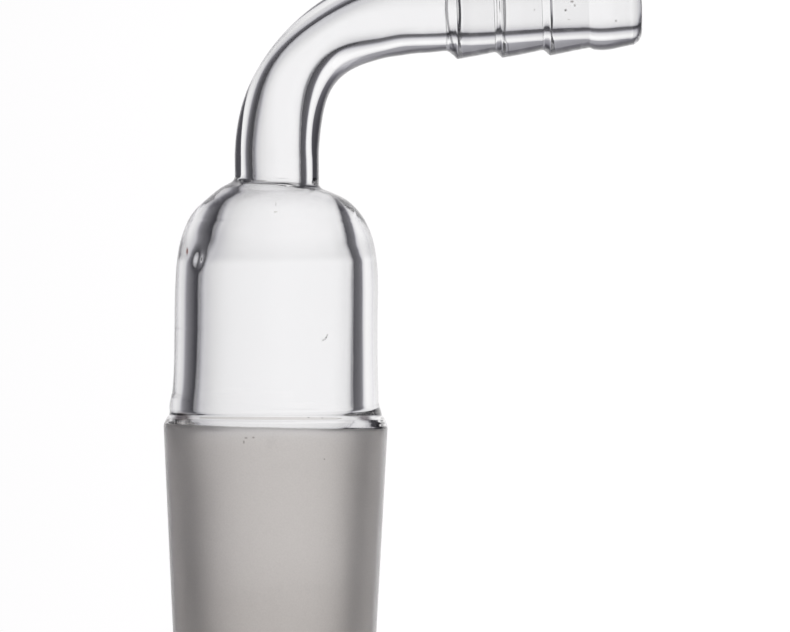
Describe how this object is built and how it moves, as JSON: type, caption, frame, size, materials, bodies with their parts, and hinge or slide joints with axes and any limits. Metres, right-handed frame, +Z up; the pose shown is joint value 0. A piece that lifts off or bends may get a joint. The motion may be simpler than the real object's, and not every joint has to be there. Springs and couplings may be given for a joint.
{
  "type": "right-angle hose adapter",
  "caption": "Clear glass right-angle hose adapter: tapered ground cone joint, domed chamber, bent tube and ribbed hose nozzle.",
  "frame": {"origin": "centre of the ground cone's small end, on the cone's axis, in the plane of its rim", "axes": "+Z up the cone's axis from the small end through the chamber, +X along the hose arm, +Y completes the right-handed frame, across the arm"},
  "size_m": [0.051, 0.024, 0.0799],
  "materials": {
    "clear_glass": "clear fire-polished borosilicate glass, smooth, very slightly wavy",
    "ground_glass": "fine-ground matt outside, clear glass inside"
  },
  "bodies": {
    "root": {"ground_cone": "ground_glass", "cone_shoulder": "clear_glass", "body_dome": "clear_glass", "neck_weld": "clear_glass", "elbow_tube": "clear_glass", "hose_nozzle": "clear_glass"}
  },
  "joints": []
}
